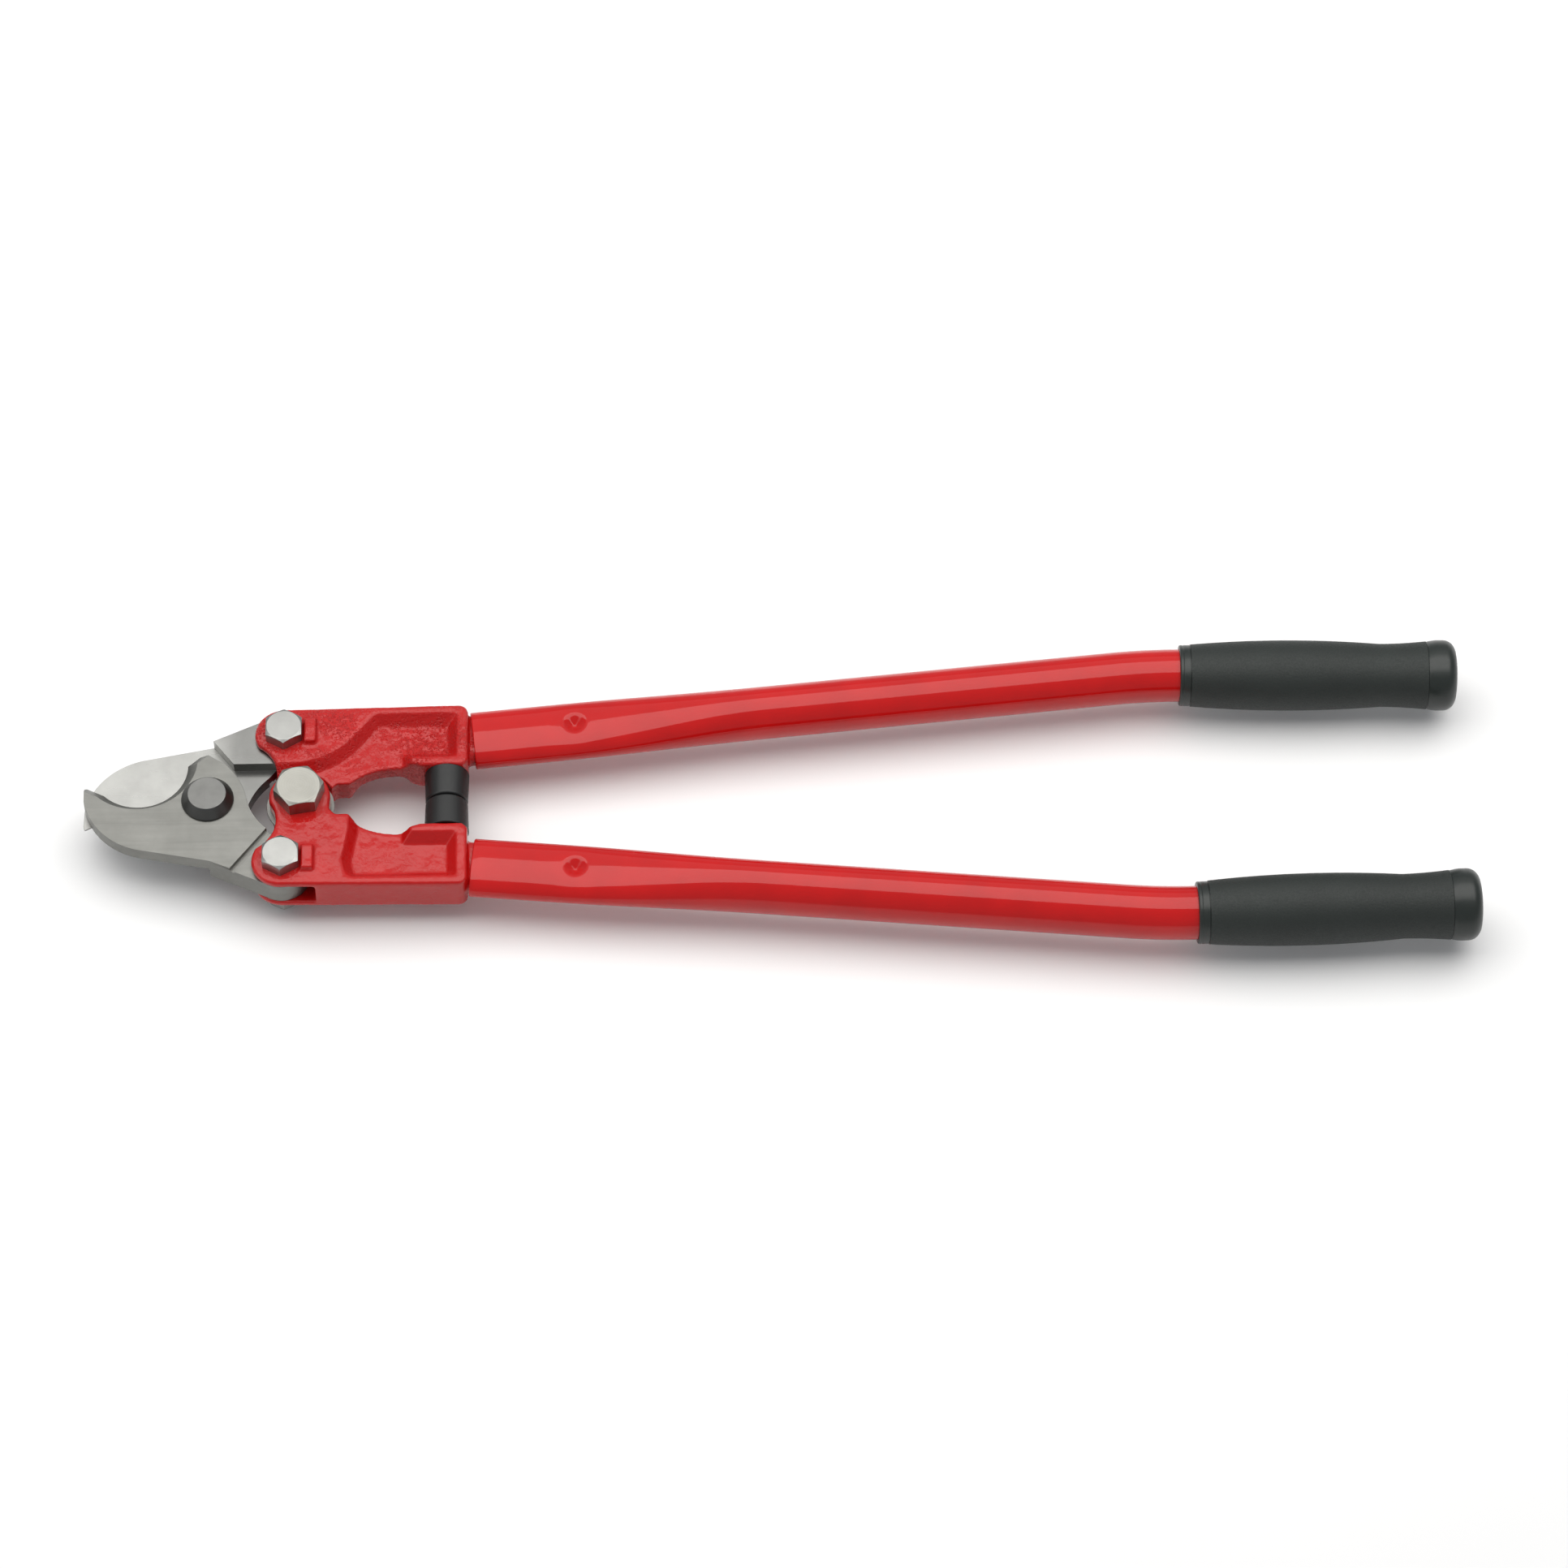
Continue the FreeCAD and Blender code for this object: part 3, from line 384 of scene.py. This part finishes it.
def edge_rounded(node, name, wide, sharp_from=25.0, turned=None):
    """A copy of a machined piece with its hard edges eased by a small round."""
    piece = merged_copy(node, name)
    if turned:
        turn_down(piece, *turned)
    easing = piece.modifiers.new("eased_edges", "BEVEL")
    easing.width = wide * MM
    easing.segments = 2
    easing.limit_method = "ANGLE"
    easing.angle_limit = math.radians(sharp_from)
    easing.use_clamp_overlap = True
    flats = piece.modifiers.new("flats_stay_flat", "WEIGHTED_NORMAL")
    flats.mode = "FACE_AREA"
    flats.weight = 100
    flats.keep_sharp = True
    smooth_faces(piece.data, math.radians(40))
    settle(piece)
    return piece


def from_rings(name, rings, closed):
    """A skin over rings of points with the same count. A ring of one point is a pole."""
    verts = []
    starts = []
    for ring in rings:
        starts.append(len(verts))
        verts.extend(ring)
    faces = []
    for index in range(len(rings) if closed else len(rings) - 1):
        after = (index + 1) % len(rings)
        first, second = rings[index], rings[after]
        count = max(len(first), len(second))
        for step in range(count):
            here = [starts[index] + step, starts[index] + (step + 1) % count]
            there = [starts[after] + (step + 1) % count, starts[after] + step]
            if len(first) == 1:
                here = [starts[index]]
            if len(second) == 1:
                there = [starts[after]]
            faces.append(here + there)
    mesh = bpy.data.meshes.new(name)
    mesh.from_pydata([point[:] for point in verts], [], faces)
    tool = bmesh.new()
    tool.from_mesh(mesh)
    bmesh.ops.recalc_face_normals(tool, faces=tool.faces)
    tool.to_mesh(mesh)
    tool.free()
    return new_piece(name, mesh)


def smoothstep(share):
    """Goes from 0 to 1 with a level start and end."""
    share = min(max(share, 0.0), 1.0)
    return share * share * (3.0 - 2.0 * share)


def between(low, high, steps):
    """Evenly spaced numbers from low to high."""
    return [low + (high - low) * step / steps for step in range(steps + 1)]


def side_turn(side):
    """The lower pieces are the upper ones turned half a turn about the tool's own line."""
    return Matrix.Identity(4) if side == UPPER else Matrix.Rotation(math.pi, 4, "X")


# ---------------------------------------------------------------- handle tubes

def pressed_section(thick, inset):
    """Points (across, up) round a tube pressed to one thickness, evenly spaced along its girth.
    Its flat sides stay crowned."""
    wide = thick + math.pi / 2 * (TUBE_DIA - thick)
    run = (wide - thick) / 2
    rad = thick / 2 - inset
    arc = math.pi * rad
    girth = 2 * arc + 4 * run
    points = []
    for step in range(TUBE_AROUND):
        along = girth * step / TUBE_AROUND
        if along < run:
            points.append((along, rad))
        elif along < run + arc:
            turn = (along - run) / rad
            points.append((run + rad * math.sin(turn), rad * math.cos(turn)))
        elif along < 3 * run + arc:
            points.append((2 * run + arc - along, -rad))
        elif along < 3 * run + 2 * arc:
            turn = (along - 3 * run - arc) / rad
            points.append((-run - rad * math.sin(turn), -rad * math.cos(turn)))
        else:
            points.append((along - girth, rad))
    half_wide = wide / 2 - inset
    crowned = []
    for across, up in points:
        oval = rad * math.sqrt(max(1.0 - (across / half_wide) ** 2, 0.0))
        crowned.append((across, up + CROWN * (math.copysign(oval, up) - up)))
    return crowned


def crimp_sink(station, across):
    """How far the punched crimp pushes the wall in at a place on the tube's flat side."""
    away = math.hypot(station - CRIMP_AT, across)
    bowl = CRIMP_DEEP * smoothstep(1.0 - away / CRIMP_RAD)
    shoulder = SHOULDER_DEEP * math.exp(-(away / SHOULDER_WIDE) ** 2)
    punch_mark = PUNCH_DEEP * math.exp(-(away / PUNCH_WIDE) ** 2)
    return bowl + shoulder + punch_mark


def tube_line(station):
    """Place and heading on the tube's centre line, in the socket's own directions."""
    whole_turn = TUBE_SLOPE + GRIP_SLOPE
    reach = BEND_RAD * math.tan(whole_turn / 2)
    bend_start = BEND_AT - reach
    if station <= bend_start:
        return Vector((station, 0, 0)), 0.0
    turned = min((station - bend_start) / BEND_RAD, whole_turn)
    place = Vector((bend_start + BEND_RAD * math.sin(turned), -BEND_RAD * (1 - math.cos(turned)), 0))
    rest = station - bend_start - BEND_RAD * turned
    return place + Vector((math.cos(turned), -math.sin(turned), 0)) * rest, -turned


def tube_ring(station, inset, onward):
    """One ring of the tube, at its place in the tool."""
    share = (station - FLAT_END) / (ROUND_FROM - FLAT_END)
    thick = TUBE_FLAT + (TUBE_DIA - TUBE_FLAT) * smoothstep(share)
    place, heading = tube_line(station)
    ring = []
    for across, up in pressed_section(thick, inset):
        sink = crimp_sink(station, across) if abs(station - CRIMP_AT) < CRIMP_REACH else 0.0
        up -= math.copysign(min(sink, abs(up)), up) if abs(across) < TUBE_FLAT else 0.0
        point = place + Vector((-across * math.sin(heading), across * math.cos(heading), up))
        ring.append(onward @ (point * MM))
    return ring


def make_tube(side):
    """A handle tube with its wall, eased at the mouth, flattened, crimped and bent."""
    end = BEND_AT + GRIP_FROM + GRIP_LONG - GRIP_CAP - TUBE_START
    bend_start = BEND_AT - BEND_RAD * math.tan((TUBE_SLOPE + GRIP_SLOPE) / 2)
    bend_end = bend_start + BEND_RAD * (TUBE_SLOPE + GRIP_SLOPE)
    stations = between(TUBE_START + TUBE_LIP, CRIMP_AT - CRIMP_FINE, 10)[:-1]
    stations += between(CRIMP_AT - CRIMP_FINE, CRIMP_AT + CRIMP_FINE, 56)
    stations += between(CRIMP_AT + CRIMP_FINE, ROUND_FROM, 34)[1:]
    stations += between(ROUND_FROM, bend_start, 8)[1:]
    stations += between(bend_start, bend_end, 20)[1:]
    stations += between(bend_end, end, 4)[1:]
    lip = [(0.2, 0.15), (0.0, 0.5), (0.0, TUBE_WALL - 0.4), (0.2, TUBE_WALL)]
    socket = Vector((SOCKET_X, EAR_Y, 0)) * MM
    onward = (Matrix.Translation(CENTRE) @ side_turn(side) @ Matrix.Translation(socket)
              @ Matrix.Rotation(TUBE_SLOPE, 4, "Z"))
    rings = [tube_ring(TUBE_START + ahead, inset, onward) for ahead, inset in lip[::-1]]
    rings += [tube_ring(station, 0.0, onward) for station in stations]
    rings += [tube_ring(station, TUBE_WALL, onward) for station in stations[::-2]]
    piece = from_rings(side + "_tube", rings, closed=True)
    smooth_faces(piece.data, math.radians(50))
    fit_out(piece, side + "_handle_tube", side + "_handle", "painted_tube", tube_enamel)


# ---------------------------------------------------------------- grips

def arc_through(start, end, rad, outwards, steps):
    """Points (along, radius) from start to end on an arc that bulges outwards or inwards."""
    start, end = Vector(start), Vector(end)
    half = (end - start) / 2
    rise = math.sqrt(rad * rad - half.length_squared)
    across = Vector((half.y, -half.x)).normalized() * rise * (1 if outwards else -1)
    centre = start + half + across
    spoke = start - centre
    sweep = 2 * math.asin(half.length / rad) * (-1 if outwards else 1)
    return [(centre + Matrix.Rotation(sweep * step / steps, 2) @ spoke)[:] for step in range(steps + 1)]


def grip_profile():
    """(along, radius, is stippled) from the bore's floor round the outside to the middle of the end."""
    band = GRIP_LONG - END_BAND
    groove = COLLAR_RAD - 0.2
    step_down = COLLAR_RAD - 0.25
    smooth = [(GRIP_LONG - GRIP_CAP, 0.0), (GRIP_LONG - GRIP_CAP, GRIP_BORE), (0.0, GRIP_BORE),
              (0.0, COLLAR_RAD - 0.7), (0.2, groove), (0.7, COLLAR_RAD), (1.6, COLLAR_RAD),
              (1.9, groove), (2.2, COLLAR_RAD), (COLLAR_LONG - 0.5, COLLAR_RAD),
              (COLLAR_LONG - 0.3, step_down), (COLLAR_LONG, step_down)]
    body = arc_through((COLLAR_LONG, COLLAR_RAD + 0.3), (WAIST_AT, WAIST_RAD), BODY_SWELL_RAD, True, 26)
    body += arc_through((WAIST_AT, WAIST_RAD), (BULB_AT, BULB_RAD), WAIST_HOLLOW_RAD, False, 14)[1:]
    stippled = [point for point in body if point[0] < band - 0.5]
    after = [point for point in body if point[0] > band + 0.8]
    edge = stippled[-1][1] + 0.05
    rim = [(GRIP_LONG - END_ROUND * (1 - math.sin(turn)), BULB_RAD - END_ROUND * (1 - math.cos(turn)))
           for turn in between(0.0, math.pi / 2, 12)]
    profile = [(*point, False) for point in smooth]
    profile += [(*point, True) for point in stippled]
    profile += [(band - 0.2, edge, True), (band, edge - 0.3, False), (band + 0.3, edge - 0.1, False)]
    profile += [(*point, False) for point in after + rim]
    floor_at = GRIP_LONG - END_FACE_DEEP
    profile += [(GRIP_LONG, END_FACE_RAD, False), (floor_at, END_FACE_RAD - 0.5, False),
                (floor_at, 0.0, False)]
    return profile


def make_grip(side):
    """A moulded grip, stippled between its smooth collar and its smooth end."""
    tube_way = Vector((math.cos(TUBE_SLOPE), math.sin(TUBE_SLOPE), 0))
    corner = Vector((SOCKET_X, EAR_Y, 0)) + tube_way * BEND_AT
    collar_at = corner + Vector((math.cos(GRIP_SLOPE), -math.sin(GRIP_SLOPE), 0)) * GRIP_FROM
    onward = (Matrix.Translation(CENTRE) @ side_turn(side) @ Matrix.Translation(collar_at * MM)
              @ Matrix.Rotation(-GRIP_SLOPE, 4, "Z"))
    profile = grip_profile()
    rings = []
    for along, rad, _ in profile:
        turns = [0.0] if rad == 0.0 else between(0.0, 2 * math.pi, GRIP_AROUND)[:-1]
        rings.append([onward @ (Vector((along, rad * math.cos(turn), rad * math.sin(turn))) * MM)
                      for turn in turns])
    piece = from_rings(side + "_grip_cover", rings, closed=False)
    smooth_faces(piece.data, math.radians(50))
    fit_out(piece, side + "_grip", side + "_handle", "grip_rubber", grip_grain, grip_smooth)
    for face in piece.data.polygons:
        ring = face.index // GRIP_AROUND
        face.material_index = 0 if profile[ring][2] and profile[ring + 1][2] else 1


# ---------------------------------------------------------------- yokes

def make_yoke(side):
    """The casting, with its edges rounded by the mould and its skin slightly uneven."""
    piece = merged_copy(side + "_yoke", side + "_yoke_casting")
    skin = piece.modifiers.new("cast_skin", "REMESH")
    skin.mode = "VOXEL"
    skin.voxel_size = CAST_VOXEL * MM
    ease = piece.modifiers.new("soft_edges", "SMOOTH")
    ease.factor = 0.5
    ease.iterations = CAST_SMOOTHINGS
    uneven = bpy.data.textures.new(side + "_cast_unevenness", "CLOUDS")
    uneven.noise_scale = CAST_WAVE_SIZE * MM
    uneven.noise_depth = 2
    wave = piece.modifiers.new("uneven_skin", "DISPLACE")
    wave.texture = uneven
    wave.texture_coords = "LOCAL"
    wave.mid_level = 0.5
    wave.strength = CAST_WAVE * MM
    settle(piece)
    smooth_faces(piece.data)
    fit_out(piece, side + "_yoke", side + "_handle", "painted_casting",
            cast_upper if side == UPPER else cast_lower)


# ---------------------------------------------------------------- machined pieces

def make_jaw(side):
    """A blade. The back one, on the upper jaw, is the brighter."""
    piece = edge_rounded(side + "_jaw", side + "_blade", 0.22, 18.0)
    fit_out(piece, side + "_jaw", side + "_jaw", "ground_steel",
            blade_back if side == UPPER else blade_front)


def thread_turns_tree():
    """A screw thread: a pointed section swept along a helix, from its place upwards."""
    tree = bpy.data.node_groups.new("thread_turns", "GeometryNodeTree")
    sockets = [("Geometry", "Geometry"), ("Radius", "Float"), ("Pitch", "Float"), ("Length", "Float"),
               ("Place", "Vector"), ("Material", "Material")]
    for title, kind in sockets:
        tree.interface.new_socket(title, in_out="INPUT", socket_type="NodeSocket" + kind)
    tree.interface.new_socket("Geometry", in_out="OUTPUT", socket_type="NodeSocketGeometry")
    given = tree.nodes.new("NodeGroupInput").outputs
    tooth = worked_out(tree, "MULTIPLY", given["Pitch"], TOOTH_SHARE)
    line_rad = worked_out(tree, "SUBTRACT", given["Radius"], tooth)
    turns = worked_out(tree, "DIVIDE", given["Length"], given["Pitch"])
    helix = add(tree, "GeometryNodeCurveSpiral", Resolution=32, Rotations=turns, Start_Radius=line_rad,
                End_Radius=line_rad, Height=given["Length"])
    radial = add(tree, "GeometryNodeSetCurveNormal", Curve=helix.outputs["Curve"])
    radial.mode = "Z_UP"
    section = add(tree, "GeometryNodeCurvePrimitiveCircle", Resolution=4, Radius=tooth)
    swept = add(tree, "GeometryNodeCurveToMesh", Curve=radial.outputs["Curve"],
                Profile_Curve=section.outputs["Curve"], Fill_Caps=True)
    placed = add(tree, "GeometryNodeTransform", Geometry=swept.outputs["Mesh"],
                 Translation=given["Place"])
    plain = add(tree, "GeometryNodeRealizeInstances", Geometry=placed.outputs["Geometry"])
    plated = add(tree, "GeometryNodeSetMaterial", Geometry=plain.outputs["Geometry"],
                 Material=given["Material"])
    result = tree.nodes.new("NodeGroupOutput")
    tree.links.new(plated.outputs["Geometry"], result.inputs["Geometry"])
    return tree


def cut_thread(tree, bolt, body, material, thread):
    """The turns on a bolt's end. The modifier's inputs are set by their identifiers."""
    axis, rad, pitch, foot, top = thread
    turns = new_piece(bolt + "_thread", bpy.data.meshes.new(bolt + "_thread"))
    modifier = turns.modifiers.new("thread_turns", "NODES")
    modifier.node_group = tree
    tooth = TOOTH_SHARE * pitch
    values = {"Radius": rad - 0.02 * MM, "Pitch": pitch, "Length": top - foot - 2 * tooth,
              "Place": (axis.x, axis.y, foot + tooth), "Material": material}
    for item in tree.interface.items_tree:
        if item.item_type == "SOCKET" and item.in_out == "INPUT" and item.name in values:
            modifier[item.identifier] = values[item.name]
    settle(turns)
    turns.data.materials.clear()
    turns.data.materials.append(material)
    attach(turns, body)


def make_bolts():
    """Headed bolts, each with the end that shows below its nut cut with a thread."""
    tree = thread_turns_tree()
    jaw_pivot = Vector(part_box("jaw_pivot_nut")[0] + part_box("jaw_pivot_nut")[1]) / 2
    bolts = [("upper_jaw", "upper_handle", "zinc_steel", joint_at["upper_jaw_hinge"], 10.0, 1.5, [zinc]),
             ("lower_jaw", "lower_handle", "zinc_steel", joint_at["lower_jaw_hinge"], 10.0, 1.5, [zinc]),
             ("centre", "lower_handle", "zinc_steel", CENTRE, 14.0, 2.0, [zinc_turned]),
             ("jaw_pivot", "lower_jaw", "dark_steel", jaw_pivot, 12.0, 1.75, [pivot_dark, pivot_head_top_grey])]
    for name, body, slot_name, axis, dia, pitch, materials in bolts:
        bolt = name + "_bolt"
        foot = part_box(bolt)[0].z
        head_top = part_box(bolt)[1].z
        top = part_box(name + "_nut")[0].z
        rad = dia / 2 * MM
        pitch = pitch * MM
        root_rad = rad - ROOT_TEETH * TOOTH_SHARE * pitch
        piece = edge_rounded(bolt, bolt + "_turned", EASE_PLAIN, turned=(axis, top, root_rad))
        fit_out(piece, bolt, body, slot_name, *materials)
        for face in piece.data.polygons:
            # the face on top of each head takes the last material; on the pivot bolt that is the lighter
            # grey
            face.material_index = len(materials) - 1 if face.center.z > head_top - HEAD_FACE * MM else 0
        cut_thread(tree, bolt, body, materials[0], (axis, rad, pitch, foot, top + 0.5 * MM))


def make_nuts():
    """Plated nuts and washers, and the plain spacer between the two centre lugs."""
    plated = [("upper_jaw_washer", "upper_handle"), ("upper_jaw_nut", "upper_handle"),
              ("lower_jaw_washer", "lower_handle"), ("lower_jaw_nut", "lower_handle"),
              ("centre_washer", "lower_handle"), ("centre_nut", "lower_handle"),
              ("jaw_pivot_washer", "lower_jaw"), ("jaw_pivot_nut", "lower_jaw")]
    for node, body in plated:
        piece = edge_rounded(node, node + "_plated", EASE_THIN if "washer" in node else EASE_PLAIN)
        fit_out(piece, node, body, "zinc_steel", zinc)
    spacer = edge_rounded("lug_washer", "lug_washer_plain", EASE_THIN)
    fit_out(spacer, "lug_washer", "lower_handle", "zinc_steel", blade_front)


def make_bumper(side):
    """One half of the stop between the castings."""
    piece = edge_rounded(side + "_bumper", side + "_stop_bumper", 0.4)
    fit_out(piece, side + "_bumper", side + "_handle", "bumper_rubber", bumper_black)


# ---------------------------------------------------------------- stage

def make_floor():
    """The plane that the tool lies on."""
    mesh = bpy.data.meshes.new("floor")
    far = FLOOR_HALF
    corners = [(-far, -far, 0), (far, -far, 0), (far, far, 0), (-far, far, 0)]
    mesh.from_pydata(corners, [], [(0, 1, 2, 3)])
    mesh.materials.append(pale_floor())
    new_piece("floor", mesh)


def soft_box(name, place, aim, wide, tall, radiance):
    """A large soft lamp whose face has one brightness. Its power follows from its area."""
    lamp = bpy.data.lights.new(name, "AREA")
    lamp.shape = "RECTANGLE"
    lamp.size = wide
    lamp.size_y = tall
    lamp.energy = radiance * math.pi * wide * tall
    lamp.color = LAMP_WHITE
    holder = bpy.data.objects.new(name, lamp)
    bpy.context.scene.collection.objects.link(holder)
    towards = Vector(aim) - Vector(place)
    facing = towards.to_track_quat("-Z", "Y").to_matrix().to_4x4()
    holder.matrix_world = Matrix.Translation(place) @ facing


def make_lights():
    """One broad box overhead, two weaker ones, and a pale sky all round."""
    soft_box("overhead_box", (0, 0.215, 1.25), aim=(0, 0.215, 0), wide=2.8, tall=1.25, radiance=2.55)
    soft_box("rear_box", (0, 1.15, 1.1), aim=(0, 0, 0), wide=2.6, tall=0.74, radiance=0.5)
    soft_box("left_box", (-1.6, -0.6, 0.9), aim=(-0.2, 0, 0), wide=1.0, tall=1.0, radiance=0.8)
    world = bpy.data.worlds.new("studio")
    world.use_nodes = True
    sky = world.node_tree.nodes["Background"]
    sky.inputs["Color"].default_value = (*SKY_WHITE, 1)
    sky.inputs["Strength"].default_value = SKY_STRENGTH
    bpy.context.scene.world = world


def make_camera():
    """Looks down on the tool from in front, a long way off."""
    azimuth, height, roll = math.radians(-2.0068), math.radians(55.8618), math.radians(0.7453)
    distance, lens = 2.75126, 132.67
    target = CENTRE + Vector((0.22962, 0.00861, 0.0))
    back = Vector((math.sin(azimuth) * math.cos(height), -math.cos(azimuth) * math.cos(height),
                   math.sin(height)))
    level = Vector((math.cos(azimuth), math.sin(azimuth), 0))
    above = back.cross(level)
    right = math.cos(roll) * level + math.sin(roll) * above
    up = math.cos(roll) * above - math.sin(roll) * level
    lens_data = bpy.data.cameras.new("camera")
    lens_data.lens = lens
    lens_data.sensor_width = 36.0
    lens_data.clip_end = 100.0
    camera = bpy.data.objects.new("camera", lens_data)
    bpy.context.scene.collection.objects.link(camera)
    turn = Matrix((right, up, back)).transposed().to_4x4()
    camera.matrix_world = Matrix.Translation(target + back * distance) @ turn
    bpy.context.scene.camera = camera


make_camera()
make_floor()
make_lights()
for side in (UPPER, LOWER):
    make_yoke(side)
    make_tube(side)
    make_grip(side)
    make_bumper(side)
    make_jaw(side)
make_bolts()
make_nuts()
bpy.context.scene.view_settings.view_transform = "Standard"
